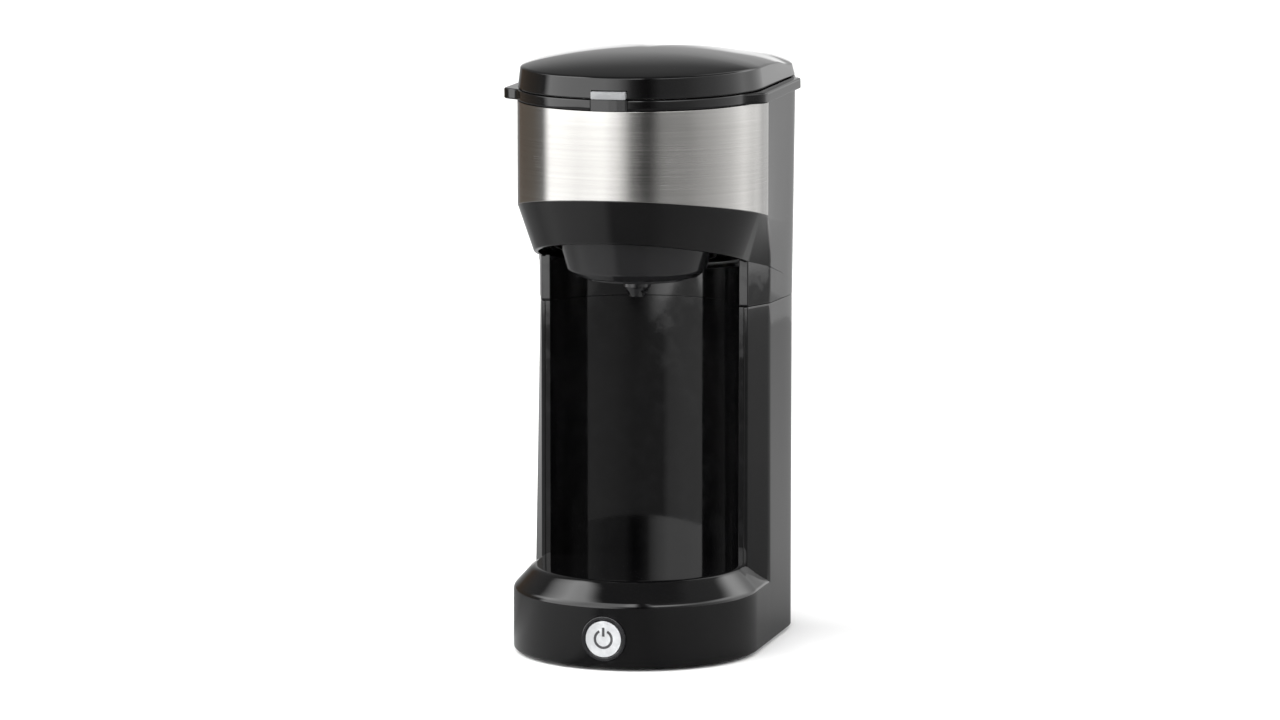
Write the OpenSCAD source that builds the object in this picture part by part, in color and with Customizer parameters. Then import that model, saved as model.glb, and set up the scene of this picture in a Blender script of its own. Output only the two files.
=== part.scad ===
// Single-serve drip coffee maker: base with power button, tower with a
// concave mug bay, head with a steel band, lift-out brew basket, hinged lid.
// Millimetres. Z up, front faces -Y, origin at the middle of the footprint.

/* [Body] */
// radius of the round front of the base
base_r = 57.6; // [56:0.2:59]
// top of the cup platform
plat_z = 40; // [38:0.5:42]
// edge radius of the flat cup platform
plat_r = 48.5; // [47.5:0.25:50]
// radius of the concave mug bay
bay_r = 47; // [46:0.25:47.5]
// height of the seam between tower and head
seam_z = 160.3; // [150:0.1:165]
// housing wall thickness
wall = 2.2; // [1.8:0.1:2.6]

/* [Head] */
// radius of the round front of the head
head_r = 58; // [57:0.25:59]
// height of the band's lower edge at the front
band_z = 213.6; // [211:0.2:216]
// front height of the collar's underside
collar_z = 254.5; // [252:0.5:258]
// collar thickness
collar_t = 5; // [4:0.5:6]
// rearward rise of the collar and lid in degrees
top_tilt = 2.06; // [1:0.02:3]
// how far the side ears stand out from the head
ear_out = 4.8; // [3:0.2:6]
// dome height above the lid's crease
dome_h = 9; // [6:0.5:12]

/* [Moving parts] */
// travel gap behind the power button
button_gap = 2.4; // [2:0.1:3]
// radius of the power button
button_r = 8.3; // [7:0.1:9]
// radius of the lid's hinge pin
pin_r = 1.5; // [1.2:0.1:1.8]

/* [View] */
// which piece to draw

/* [Hidden] */

black = [0.03, 0.03, 0.035];
dark = [0.1, 0.1, 0.11];
steel = [0.75, 0.75, 0.76];
grey = [0.72, 0.73, 0.74];
clear_grey = [0.55, 0.58, 0.6];
silicone = [0.85, 0.84, 0.8];
rubber = [0.06, 0.06, 0.06];
copper = [0.72, 0.45, 0.25];

cup_y = -17;          // axis of the mug, the base's round front and the bay
bk_y = -18;           // axis of brew basket and nozzle
head_y = -7.5;        // centre of the head's round front
rear_y = 75;          // back of the machine
rc = 26;              // rear corner radius
foot_h = 1.2;
shoulder_z = 30;      // where the base's sloping shoulder starts
btn_z = 14.5;         // height of the power button's centre
chin_z0 = 193.7;      // chin's lower edge at the front
chin_s = 0.231;       // fall of the chin's lower edge towards the rear
band_s = 0.172;       // fall of the band's lower edge towards the rear
band_t = 0.8;
band_end = 0;         // y where the band's two ends stop
e = 0.2;              // assembly gap

// hinge axis of the lid, in the tilted top frame
hinge_v = 69;
hinge_w = 10.5;
barrel_r = 5;

// --- plan outlines ---------------------------------------------------
function arc(cx, cy, r, a0, a1, n) =
  [for (i = [0:n]) let (a = a0 + (a1 - a0) * i / n)
    [cx + r * cos(a), cy + r * sin(a)]];
// rear corners for half width w and inset d
function rear(w, d) = concat(
  arc(w - rc, rear_y - rc, rc - d, 0, 90, 8),
  arc(rc - w, rear_y - rc, rc - d, 90, 180, 8));
// tower outline: narrow front edge, angled cheek, long side, rounded rear
function tower_pts(d = 0) = concat(
  [[-49.8 + 1.1 * d, -5.5 + 3.0 * d], [49.8 - 1.1 * d, -5.5 + 3.0 * d],
   [55.7 - d, 12.5 + 0.2 * d], [56.6 - d, 42]],
  rear(56.6, d),
  [[d - 56.6, 42], [d - 55.7, 12.5 + 0.2 * d]]);
function base_pts(d = 0) = concat(
  arc(0, cup_y, base_r - d, 180, 360, 48), rear(56.6, d));
function head_pts(d = 0) = concat(
  arc(0, head_y, head_r - d, 180, 360, 48), rear(head_r, d));
// chin loft: lower ring (follows the bay) and upper ring (the head)
function low_ring(d = 0) = concat(
  arc(0, -10, 49.8 - d, 183, 357, 40),
  [[49.9 - d, -5.5 + d], [52.8 - d, 3.5 + 0.5 * d], [55.7 - d, 12.5], [56.6 - d, 42]],
  rear(56.6, d),
  [[d - 56.6, 42], [d - 55.7, 12.5], [d - 52.8, 3.5 + 0.5 * d], [d - 49.9, -5.5 + d]]);
function up_ring(d = 0) = concat(
  arc(0, head_y, head_r - d, 187, 353, 40),
  [[head_r - 0.3 - d, -11], [head_r - d, -7], [head_r - d, -3], [head_r - d, 42]],
  rear(head_r, d),
  [[d - head_r, 42], [d - head_r, -3], [d - head_r, -7], [d - head_r + 0.3, -11]]);

function chin_at(y) = chin_z0 - chin_s * (y + 59.7);
function band_at(y) = band_z - band_s * (y + 64.8);
// full ring about the mug's axis, in step with the base outline
function round_ring(r, z) = [for (p = arc(0, cup_y, r, 0, 356.25, 95)) [p[0], p[1], z]];
function lift(pts, z0, s, y0) = [for (p = pts) [p[0], p[1], z0 - s * (p[1] - y0)]];

// closed skin through a list of rings that have the same number of points
module skin(rings) {
  n = len(rings[0]);
  m = len(rings);
  pts = [for (r = rings) for (p = r) p];
  polyhedron(points = pts, faces = concat(
    [[for (i = [0:n - 1]) i]],
    [for (j = [0:m - 2]) for (i = [0:n - 1]) each let (k = (i + 1) % n)
      [[j * n + i, (j + 1) * n + i, (j + 1) * n + k],
       [j * n + i, (j + 1) * n + k, j * n + k]]],
    [[for (i = [n - 1:-1:0]) (m - 1) * n + i]]), convexity = 6);
}

module prism(pts, z0, z1) translate([0, 0, z0]) linear_extrude(z1 - z0) polygon(pts);

// frame of the collar and lid: y as in the body, z from the collar's underside
module top_frame() translate([0, -65, collar_z]) rotate([top_tilt, 0, 0])
  translate([0, 65, 0]) children();
// everything above the collar's underside
module above_collar(g = 0) top_frame() translate([-100, -120, -g]) cube([200, 260, 120]);
// half space above a plane that falls towards the rear
module above_plane(z0, s, y0) translate([0, y0, z0]) rotate([-atan(s), 0, 0])
  translate([-100, -150, 0]) cube([200, 320, 200]);
module below_plane(z0, s, y0) translate([0, y0, z0]) rotate([-atan(s), 0, 0])
  translate([-100, -150, -240]) cube([200, 320, 240]);

// slotted vents and screw positions under the base
screw_pos = [[-36, -33], [36, -33], [-40, 50], [40, 50]];
foot_pos = [[-33, -49], [33, -49], [-38, 60], [38, 60]];
// screws that join tower and head
join_pos = [[-51.2, 22], [51.2, 22]];

// --- housings ----------------------------------------------------------
module lower_housing() color(black) {
  difference() {
    union() {
      prism(base_pts(), foot_h, shoulder_z);
      skin([round_ring(base_r, shoulder_z), round_ring(plat_r, plat_z)]);
      prism(tower_pts(), shoulder_z - 1, seam_z);
    }
    // inside of the base
    prism(base_pts(wall), -1, shoulder_z - 1.5);
    skin([round_ring(base_r - wall - 0.3, shoulder_z - 2), round_ring(plat_r - 1.6, plat_z - 2.4)]);
    // inside of the tower, behind the bay
    difference() {
      prism(tower_pts(wall), shoulder_z - 2, seam_z + 1);
      translate([0, cup_y, plat_z - 2.4]) cylinder(r = bay_r + 2.4, h = 2.4, $fn = 144);
    }
    // bay
    translate([0, cup_y, plat_z]) cylinder(r = bay_r + 2.4, h = 200, $fn = 144);
    // groove that the bay's liner stands in
    translate([0, cup_y, plat_z - 0.7]) difference() {
      cylinder(r = bay_r + 2.4, h = 5, $fn = 144);
      translate([0, 0, -1]) cylinder(r = bay_r - 0.15, h = 10, $fn = 144);
      translate([-80, -160, -2]) cube([160, 160 + 11.4, 20]);
    }
    // button hole with bezel seat
    translate([0, -90, btn_z]) rotate([-90, 0, 0]) cylinder(r = 10.6, h = 24, $fn = 64);
    // cord outlet
    translate([20, 60, 14]) rotate([-90, 0, 0]) cylinder(r = 6.2, h = 30, $fn = 48);
  }
  // bead ring that carries the bezel
  difference() {
    translate([0, -73.2, btn_z]) rotate([-90, 0, 0]) cylinder(r = 12.6, h = 4.6, $fn = 64);
    translate([0, -90, btn_z]) rotate([-90, 0, 0]) cylinder(r = 10.6, h = 24, $fn = 64);
    difference() {
      translate([-20, -90, 0]) cube([40, 20, 40]);
      prism(base_pts(wall - 0.6), 0, shoulder_z);
    }
  }
  // screw posts
  for (p = screw_pos) translate([p[0], p[1], 4.2]) difference() {
    cylinder(r = 3.6, h = p[1] < 0 ? plat_z - 2.2 - 4.2 : 26, $fn = 32);
    translate([0, 0, -1]) cylinder(r = 1.5, h = 14, $fn = 32);
  }
  // bosses of the joining screws
  for (p = join_pos) translate([p[0], p[1], 148]) difference() {
    cylinder(r = 3, h = seam_z - 148, $fn = 32);
    translate([0, 0, 4]) cylinder(r = 1.15, h = 20, $fn = 32);
  }
  // ribs that tie the rear posts to the side walls
  for (s = [-1, 1]) translate([s > 0 ? 43.2 : -54.9, 49, 8]) cube([11.7, 2, 20]);
}

module recess_liner() color(black) translate([0, cup_y, plat_z - 0.65]) difference() {
  cylinder(r = bay_r + 2.2, h = seam_z - plat_z + 0.65, $fn = 144);
  translate([0, 0, -1]) cylinder(r = bay_r, h = 200, $fn = 144);
  // open towards the front
  translate([-80, -160, -1]) cube([160, 160 + 11.6, 200]);
}

module upper_housing() color(black) {
  low = lift(low_ring(), chin_z0, chin_s, -59.7);
  mid = lift(up_ring(0.2), band_z, band_s, -64.8);
  lowi = lift(low_ring(wall), chin_z0 - 0.6, chin_s, -59.7);
  midi = lift(up_ring(wall), band_z, band_s, -64.8);
  topi = [for (p = up_ring(wall)) [p[0], p[1], 290]];
  difference() {
    union() {
      skin([low, mid, [for (p = up_ring(0.2)) [p[0], p[1], 285]]]);
      intersection() {
        prism(tower_pts(), seam_z + e, 200);
        below_plane(chin_z0 + 0.5, chin_s, -59.7);
      }
    }
    above_collar(e);
    // inside
    skin([lowi, midi, topi]);
    intersection() {
      prism(tower_pts(wall), seam_z - 1, 206);
      below_plane(chin_z0 + 2, chin_s, -59.7);
    }
    // bay
    intersection() {
      translate([0, cup_y, seam_z - 1]) cylinder(r = bay_r + 2.2, h = 60, $fn = 144);
      below_plane(chin_z0 + 3, chin_s, -59.7);
    }
    // seat of the steel band
    difference() {
      translate([-80, -90, 190]) cube([160, 90 + band_end + 0.2, 90]);
      translate([0, 0, 180]) linear_extrude(100) polygon(head_pts(band_t + 0.3));
      below_plane(band_z - 0.1, band_s, -64.8);
    }
  }
  // wall around the bay, from the seam to the ceiling
  intersection() {
    translate([0, cup_y, seam_z + e]) difference() {
      cylinder(r = bay_r + 2.2, h = 60, $fn = 144);
      translate([0, 0, -1]) cylinder(r = bay_r, h = 80, $fn = 144);
      translate([-80, -160, -1]) cube([160, 160 + 11.6, 200]);
    }
    below_plane(chin_z0 + 3.2, chin_s, -59.7);
  }
  // bosses of the joining screws
  for (p = join_pos) translate([p[0], p[1], seam_z + e]) difference() {
    cylinder(r = 3, h = 6, $fn = 32);
    translate([0, 0, -1]) cylinder(r = 1.3, h = 20, $fn = 32);
  }
  // ceiling of the bay with the hole for the basket well
  difference() {
    intersection() {
      union() {
        prism(concat(arc(0, -9.8, 49.6, 180, 360, 40), [[49.6, -5], [-49.6, -5]]), 150, 230);
        translate([0, cup_y, 150]) cylinder(r = bay_r + 2, h = 80, $fn = 144);
      }
      above_plane(chin_z0 + 3, chin_s, -59.7);
      below_plane(chin_z0 + 5, chin_s, -59.7);
    }
    translate([0, bk_y, 150]) cylinder(r = 38.8, h = 80, $fn = 128);
  }
}

module steel_band() color(steel) difference() {
  prism(head_pts(0), 190, 262);
  translate([0, 0, 180]) linear_extrude(100) polygon(head_pts(band_t));
  below_plane(band_z, band_s, -64.8);
  above_collar(e);
  translate([-80, band_end, 150]) cube([160, 100, 150]);
}

module basket_well() color(dark) {
  intersection() {
    translate([0, bk_y, 0]) rotate_extrude($fn = 128) polygon([
      [33.9, 176], [37.2, 192], [39.6, 246], [40.7, 248.6], [40.7, 253.2],
      [47, 253.2], [47, 251.4], [42.2, 251.4], [42.2, 248], [41.1, 246],
      [38.5, 192], [35.2, 176]]);
    above_plane(chin_z0 + 2, chin_s, -59.7);
    prism(head_pts(wall + 0.3), 100, 300);
  }
}

// outline of the collar with its two side ears
function collar_pts() = concat(
  arc(0, head_y, head_r, 192, 348, 44),
  [[head_r - 0.6, -17.6], [head_r + 2.6, -17]],
  arc(head_r + ear_out - 2.6, -14, 2.6, -60, 0, 4),
  arc(head_r + ear_out - 3, 42, 3, 0, 60, 4),
  [[head_r, 47.5]],
  rear(head_r, 0),
  [[-head_r, 47.5]],
  arc(-head_r - ear_out + 3, 42, 3, 120, 180, 4),
  arc(-head_r - ear_out + 2.6, -14, 2.6, 180, 240, 4),
  [[-head_r - 2.6, -17], [-head_r + 0.6, -17.6]]);

module lug() rotate([0, 90, 0]) cylinder(r = 4.6, h = 5, $fn = 48);

module top_collar() color(black) {
  difference() {
    union() {
      top_frame() {
        linear_extrude(collar_t) polygon(collar_pts());
        // hinge lugs
        for (x = [-41, 36]) translate([x, hinge_v, hinge_w]) lug();
        for (x = [-41, 36]) translate([x, hinge_v - 4.6, 3]) cube([5, 9.2, hinge_w - 3]);
      }
    }
    // sunken deck
    top_frame() translate([0, 0, 2.2]) linear_extrude(20) polygon(concat(
      arc(0, head_y, head_r - 6.4, 180, 360, 48), [[head_r - 6.4, 56], [6.4 - head_r, 56]]));
    // basket opening
    translate([0, bk_y, 240]) cylinder(r = 40.8, h = 40, $fn = 128);
    // filling opening over the tank
    top_frame() translate([0, 0, -1]) linear_extrude(20) polygon(concat(
      [[-44, 40], [44, 40]], arc(38, 52, 8, 0, 90, 6), arc(-38, 52, 8, 90, 180, 6)));
    // outlet port
    translate([-30, 29.5, 240]) cylinder(r = 5.2, h = 40, $fn = 48);
    // notch for the latch
    top_frame() translate([-8.9, -70, -1]) cube([17.8, 9.6, 10]);
    // pin bores
    top_frame() translate([-50, hinge_v, hinge_w]) rotate([0, 90, 0])
      cylinder(r = pin_r + 0.06, h = 100, $fn = 48);
  }
}

// --- lid -------------------------------------------------------------------
// outline of the lid, stopping at the hinge line
function lid_pts(d) = concat(
  arc(0, head_y, head_r - 0.3 - d, 180, 360, 48),
  [for (a = [0:7.5:48]) [head_r - 0.3 - rc + (rc - d) * cos(a), rear_y - rc + (rc - d) * sin(a)]],
  [[47.5 - d, hinge_v - d * 0.3], [d - 47.5, hinge_v - d * 0.3]],
  [for (a = [48:-7.5:0]) [-(head_r - 0.3 - rc + (rc - d) * cos(a)), rear_y - rc + (rc - d) * sin(a)]]);
// height above the crease for an inset d, a shallow dome
function shrink(pts, k) = [for (p = pts) [p[0] * k, 4 + (p[1] - 4) * k]];
module lid_solid(d, w0, dz) {
  skin(concat(
    [[for (p = lid_pts(d)) [p[0], p[1], w0]],
     [for (p = lid_pts(1.3 + d)) [p[0], p[1], 15.2 - dz]]],
    [for (i = [1:9]) let (k = cos(i * 9.7))
      [for (p = shrink(lid_pts(1.3 + d), k)) [p[0], p[1], 15.2 - dz + dome_h * (pow(1 - pow(k, 2.2), 0.8))]]]));
}
module lid_shell() color(black) top_frame() difference() {
  union() {
    difference() {
      lid_solid(0, collar_t + 0.3, 0);
      difference() {
        lid_solid(2, collar_t - 1, 2);
        translate([-80, hinge_v - 8, 0]) cube([160, 30, 40]);
      }
    }
    translate([-44, hinge_v, hinge_w]) rotate([0, 90, 0]) cylinder(r = barrel_r, h = 88, $fn = 64);
  }
  // hinge lug slots
  for (x = [-41.3, 35.7]) translate([x, hinge_v, hinge_w]) {
    rotate([0, 90, 0]) cylinder(r = 5.9, h = 5.6, $fn = 48);
    translate([0, -5.9, -9]) cube([5.6, 18, 9]);
  }
  // keep the lid's rear inside the hinge radius
  difference() {
    translate([-70, hinge_v, 0]) cube([140, 20, 40]);
    translate([-60, hinge_v, hinge_w]) rotate([0, 90, 0]) cylinder(r = barrel_r, h = 120, $fn = 64);
  }
  // pin bore
  translate([-42.5, hinge_v, hinge_w]) rotate([0, 90, 0]) cylinder(r = pin_r + 0.02, h = 85, $fn = 48);
  // notch over the latch button
  translate([-8.5, -80, 0]) cube([17, 20, 9.3]);
}

module lid_liner() color(dark) top_frame() difference() {
  union() {
    translate([0, 0, 7]) linear_extrude(1.8) polygon(concat(
      arc(0, head_y, head_r - 3.2, 180, 360, 48), [[head_r - 3.2, 44], [head_r - 5, 50], [42, 59.2], [-42, 59.2], [5 - head_r, 50], [3.2 - head_r, 44]]));
    // collar that holds the shower head
    translate([0, bk_y, 6]) cylinder(r = 25, h = 2.8, $fn = 96);
  }
  translate([0, bk_y, 0]) cylinder(r = 22.2, h = 20, $fn = 96);
  translate([-30, 29.5, 0]) cylinder(r = 4.4, h = 20, $fn = 48);
  translate([-9.5, -80, 0]) cube([19, 21.2, 20]);
}

module lid_gasket() color(silicone) top_frame() translate([0, bk_y, 4.2]) difference() {
  cylinder(r = 36, h = 2.75, $fn = 128);
  translate([0, 0, -1]) cylinder(r = 32.4, h = 6, $fn = 128);
}

module water_channel() color(grey) top_frame() {
  // covered channel in the lid, from the port to the shower head
  difference() {
    union() {
      translate([0, 0, 9]) linear_extrude(5) union() {
        polygon([[-35.3, 26.2], [-24.7, 32.8], [5.1, -15], [-5.1, -21]]);
        translate([-30, 29.5]) circle(r = 6.2, $fn = 48);
        translate([0, bk_y]) circle(r = 6.2, $fn = 48);
      }
      translate([-30, 29.5, 2.9]) cylinder(r = 4.1, h = 7, $fn = 48);
    }
    translate([0, 0, 10.2]) linear_extrude(2.6) union() {
      polygon([[-33.4, 27.4], [-26.6, 31.6], [3.4, -16], [-3.4, -20]]);
      translate([-30, 29.5]) circle(r = 4.6, $fn = 48);
      translate([0, bk_y]) circle(r = 4.6, $fn = 48);
    }
    translate([-30, 29.5, 2]) cylinder(r = 2.6, h = 9, $fn = 32);
    translate([0, bk_y, 8]) cylinder(r = 2.6, h = 3, $fn = 32);
  }
}

module shower_head() color(grey) top_frame() translate([0, bk_y, 0]) difference() {
  union() {
    translate([0, 0, 4.4]) cylinder(r = 22, h = 4.5, $fn = 96);
  }
  // chamber and spray holes
  translate([0, 0, 5.8]) cylinder(r = 20.4, h = 2, $fn = 96);
  translate([0, 0, 7]) cylinder(r = 2.4, h = 4, $fn = 32);
  for (r = [6, 11, 16]) for (i = [0:r * 0.9 - 1]) rotate(i * 360 / (r * 0.9))
    translate([r, 0, 3]) cylinder(r = 0.9, h = 4, $fn = 16);
}

module hinge_pin() color(steel) top_frame() translate([-42.4, hinge_v, hinge_w])
  rotate([0, 90, 0]) cylinder(r = pin_r, h = 84.8, $fn = 48);

// --- latch -------------------------------------------------------------------
module latch_button() color(grey) top_frame() intersection() {
  translate([-8.1, -67.2, collar_t + 0.35]) cube([16.2, 3.6, 3.5]);
  translate([0, head_y - 1.6, 0]) cylinder(r = head_r, h = 20, $fn = 144);
}
module latch_tongue() color(black) top_frame() difference() {
  union() {
    intersection() {
      translate([-8.6, -66, 0]) cube([17.2, 3.4, collar_t]);
      linear_extrude(10) polygon(head_pts(0));
    }
    // neck and catch behind the button
    translate([-6, -64.4, 4]) cube([12, 0.8, 1.33]);
    translate([-6, -63.5, 4]) cube([12, 0.9, 1.9]);
    translate([-5, -63.4, 5.3]) cube([10, 2.5, 0.6]);
    translate([-5, -61.8, 5.3]) cube([10, 0.9, 3.4]);
  }
  // spring pocket
  translate([0, -63.9, 2.5]) rotate([-90, 0, 0]) cylinder(r = 1.8, h = 4, $fn = 32);
}
// helical spring along +Z: coil radius r, wire radius t, length h, n turns
module coil(r, t, h, n) translate([0, 0, t]) linear_extrude(h - 2 * t, twist = -360 * n, slices = n * 18)
  translate([r, 0]) circle(r = t, $fn = 8);
module latch_spring() color(steel) top_frame() translate([0, -63.85, 2.5]) rotate([-90, 0, 0])
  coil(1.2, 0.22, 3.4, 4);

// --- brew basket ---------------------------------------------------------------
module brew_basket() color(black) translate([0, bk_y, 0]) rotate_extrude($fn = 128) polygon([
  [3.2, 173.4], [23, 173.4], [23, 175], [28.5, 175], [31, 176], [32.3, 178.2],
  [36, 192], [38.9, 246], [40, 249], [40, 252], [37.8, 252], [37.8, 249.4],
  [36.2, 248], [34.3, 192.6], [30.8, 179.4], [29.4, 177.4], [3.2, 176.6]]);

module drip_nozzle() color(black) translate([0, bk_y, 0]) difference() {
  union() {
    translate([0, 0, 170]) cylinder(r = 6.7, h = 3.4, $fn = 64);
    translate([0, 0, 165.3]) cylinder(r1 = 3.6, r2 = 6.2, h = 4.7, $fn = 64);
  }
  translate([0, 0, 160]) cylinder(r = 2.6, h = 20, $fn = 32);
  // slots that leave cross ribs in the cone
  for (a = [45:90:315]) rotate(a) translate([3.4, -1.1, 160]) cube([8, 2.2, 8.4]);
}

module filter_frame() color(dark) translate([0, bk_y, 0]) {
  rotate_extrude($fn = 128) polygon([
    [33.4, 246.4], [35.4, 246.4], [35.8, 248.3], [37.4, 249.8], [37.4, 251.4], [33.4, 251.4]]);
  // bottom cup and four ribs
  rotate_extrude($fn = 96) polygon([[0, 196.4], [22.6, 196.4], [22.6, 199.4], [21.4, 199.4], [21.4, 197.8], [0, 197.8]]);
  for (a = [45:90:315]) rotate(a) rotate([90, 0, 0]) translate([0, 0, -1.1]) linear_extrude(2.2)
    polygon([[21.6, 197], [23.4, 197], [34.6, 246.6], [33.42, 248]]);
  // grip bar across the top
  translate([-33.6, -1.6, 248.4]) cube([67.2, 3.2, 2.4]);
}
module filter_mesh() color(steel) translate([0, bk_y, 0]) difference() {
  rotate_extrude($fn = 128) polygon([[20.9, 197.85], [21.3, 197.85], [21.35, 199.6], [33.35, 246.5], [33.35, 248.2], [32.9, 248.2], [32.9, 246.6], [20.9, 199.7]]);
  for (a = [45:90:315]) rotate(a) rotate([90, 0, 0]) translate([0, 0, -1.15]) linear_extrude(2.3)
    polygon([[21.5, 196], [26, 196], [35.6, 247], [33.3, 248.3]]);
}

// --- water path ----------------------------------------------------------------
function tank_pts(d) = concat([[-50 + d, 36 + d], [50 - d, 36 + d]],
  arc(29, 49, 21 - d, 0, 90, 8), arc(-29, 49, 21 - d, 90, 180, 8));
module water_tank() color(clear_grey, 0.7) difference() {
  union() {
    prism(tank_pts(0), 72, 257.4);
    // rim
    intersection() {
      prism(tank_pts(-2.4), 255.2, 257.4);
      prism(head_pts(wall + 0.4), 240, 260);
      translate([-100, 36, 200]) cube([200, 100, 100]);
    }
    translate([30, 52, 68.6]) cylinder(r = 5.4, h = 4, $fn = 48);
  }
  prism(tank_pts(1.8), 74, 300);
  translate([30, 52, 60]) cylinder(r = 3, h = 20, $fn = 32);
}
module check_valve() color(grey) difference() {
  union() {
    translate([30, 52, 54]) cylinder(r = 5.4, h = 14.55, $fn = 48);
    translate([30, 52, 68]) cylinder(r = 2.9, h = 4, $fn = 32);
    translate([30, 52, 59]) rotate([90, 0, 0]) cylinder(r = 2.7, h = 12.5, $fn = 32);
  }
  translate([30, 52, 57]) cylinder(r = 1.8, h = 20, $fn = 32);
  translate([30, 52, 59]) rotate([90, 0, 0]) cylinder(r = 1.6, h = 20, $fn = 32);
}
// quarter bend of a tube in the local XZ plane: centre line radius R
module bend(R, r, ri) rotate_extrude(angle = 90, $fn = 96) translate([R, 0]) difference() {
  circle(r = r, $fn = 32);
  circle(r = ri, $fn = 32);
}
module tube(r, ri, h) difference() {
  cylinder(r = r, h = h, $fn = 32);
  translate([0, 0, -1]) cylinder(r = ri, h = h + 2, $fn = 32);
}
module inlet_hose() color(silicone) {
  // straight legs with a slightly thicker moulded elbow
  translate([30, 29.5, 32]) tube(4.3, 2.8, 20);
  translate([30, 37.5, 51]) rotate([90, 0, -90]) bend(8, 4.6, 2.6);
  translate([30, 36.5, 59]) rotate([-90, 0, 0]) tube(4.3, 2.8, 7);
}
module heater_tube() color(grey) {
  // aluminium horseshoe with upturned ends
  translate([0, -10, 18]) rotate([0, 0, 180]) rotate_extrude(angle = 180, $fn = 96)
    translate([30, 0]) difference() { circle(r = 5, $fn = 32); circle(r = 2.4, $fn = 32); }
  for (s = [-1, 1]) {
    translate([s * 30, -10.01, 18]) rotate([-90, 0, 0]) tube(5, 2.4, 32.02);
    translate([s * 30, 22, 25.5]) rotate([0, 90, 0]) rotate([0, 0, 0]) bend(7.5, 5, 2.4);
    translate([s * 30, 29.5, 25.49]) tube(2.75, 1.6, 12);
    translate([s * 30, 29.5, 25.49]) tube(5, 1.7, 6);
  }
}
module heater_bracket() color(steel) {
  for (s = [-1, 1]) difference() {
    union() {
      translate([s * 30 - 9, 2, 23.4]) cube([18, 12, 1.4]);
      translate([s * 30 - 3, 5, 24.7]) cube([6, 6, plat_z - 2.45 - 24.7]);
      translate([s * 30 - 6.2, 2, 15]) cube([1, 12, 9]);
      translate([s * 30 + 5.2, 2, 15]) cube([1, 12, 9]);
    }
    translate([s * 30, -20, 18]) rotate([-90, 0, 0]) cylinder(r = 5.05, h = 60, $fn = 48);
  }
}
module thermostat() color(dark) {
  translate([0, -40, 23.1]) cylinder(r = 7.5, h = 5, $fn = 48);
  for (s = [-1, 1]) translate([s * 5 - 1.6, -41, 28]) cube([3.2, 2, 0.8]);
  for (s = [-1, 1]) translate([s * 5 - 1.6, -41, 28]) cube([3.2, 0.8, 5]);
}
module thermal_fuse() color(silicone) {
  for (s = [-1, 1]) translate([s * 38.8, -4, 18]) rotate([-90, 0, 0]) cylinder(r = 2.2, h = 22, $fn = 24);
}
module riser_hose() color(silicone) {
  translate([-30, 29.5, 32]) tube(4.3, 2.8, 218);
}
module outlet_port() color(silicone) translate([-30, 29.5, 0]) difference() {
  union() {
    translate([0, 0, 243]) cylinder(r = 2.75, h = 12, $fn = 32);
    translate([0, 0, 250.4]) cylinder(r = 6, h = 4, $fn = 48);
    translate([0, 0, 254]) cylinder(r = 5, h = 6.2, $fn = 48);
  }
  translate([0, 0, 240]) cylinder(r = 1.8, h = 18, $fn = 32);
  translate([0, 0, 256.6]) cylinder(r1 = 3, r2 = 4.6, h = 4, $fn = 48);
}
module clip_ring(x, y, z) translate([x, y, z]) difference() {
  cylinder(r = 5.4, h = 5, $fn = 32);
  translate([0, 0, -1]) cylinder(r = 4.32, h = 8, $fn = 32);
}
module hose_clips() color(steel) {
  clip_ring(30, 29.5, 32.8);
  clip_ring(-30, 29.5, 32.8);
  translate([30, 43.2, 59]) rotate([90, 0, 0]) difference() {
    cylinder(r = 5.4, h = 4.4, $fn = 32);
    translate([0, 0, -1]) cylinder(r = 4.32, h = 8, $fn = 32);
  }
  clip_ring(-30, 29.5, 244);
}

// --- switch, button --------------------------------------------------------------
module button_bezel() color(dark) translate([0, -74.8, btn_z]) rotate([-90, 0, 0]) difference() {
  union() {
    cylinder(r = 10.4, h = 6.4, $fn = 96);
    translate([0, 0, 6.3]) cylinder(r = 12.8, h = 1.2, $fn = 64);
  }
  translate([0, 0, -1]) cylinder(r = button_r + 0.35, h = 20, $fn = 96);
}
module power_button() color(grey) translate([0, -75, btn_z]) rotate([-90, 0, 0]) difference() {
  union() {
    cylinder(r = button_r, h = 8, $fn = 96);
    translate([0, 0, 7.9]) cylinder(r = button_r + 2.2, h = 1, $fn = 96);
    cylinder(r = 1.6, h = 11, $fn = 32);
  }
  // cup behind the face for the spring
  translate([0, 0, 2.6]) difference() {
    cylinder(r = 6.6, h = 20, $fn = 64);
    translate([0, 0, -1]) cylinder(r = 1.6, h = 12, $fn = 32);
  }
  // shallow seat of the symbol
  translate([0, 0, -0.01]) symbol(0.36, 0.06);
}
// power sign: open ring and bar, thickness h, clearance g
module symbol(h, g) rotate([0, 0, 180]) linear_extrude(h) {
  difference() {
    circle(r = 4.5 + g, $fn = 64);
    circle(r = 3.4 - g, $fn = 64);
    polygon([[0, 0], [-4.2 + g, 8], [4.2 - g, 8]]);
  }
  translate([-0.55 - g, 1.2 - g]) square([1.1 + 2 * g, 4.1 + 2 * g]);
}
module button_symbol() color(dark) translate([0, -75, btn_z]) rotate([-90, 0, 0]) symbol(0.3, 0);
module button_spring() color(steel) translate([0, -72.3, btn_z]) rotate([-90, 0, 0])
  coil(4.2, 0.35, 9.4, 5);
module power_switch() color(dark) {
  difference() {
    union() {
      translate([-12, -62.8, 4]) cube([24, 12, 19]);
      translate([-2, -62.8, 23]) cube([4, 1.5, 0.1]);
    }
    translate([0, -63, btn_z]) rotate([-90, 0, 0]) cylinder(r = 2, h = 4, $fn = 32);
  }
  for (x = [-7, 0, 7]) translate([x - 1.6, -50.9, 12]) cube([3.2, 6, 0.8]);
}
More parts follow.
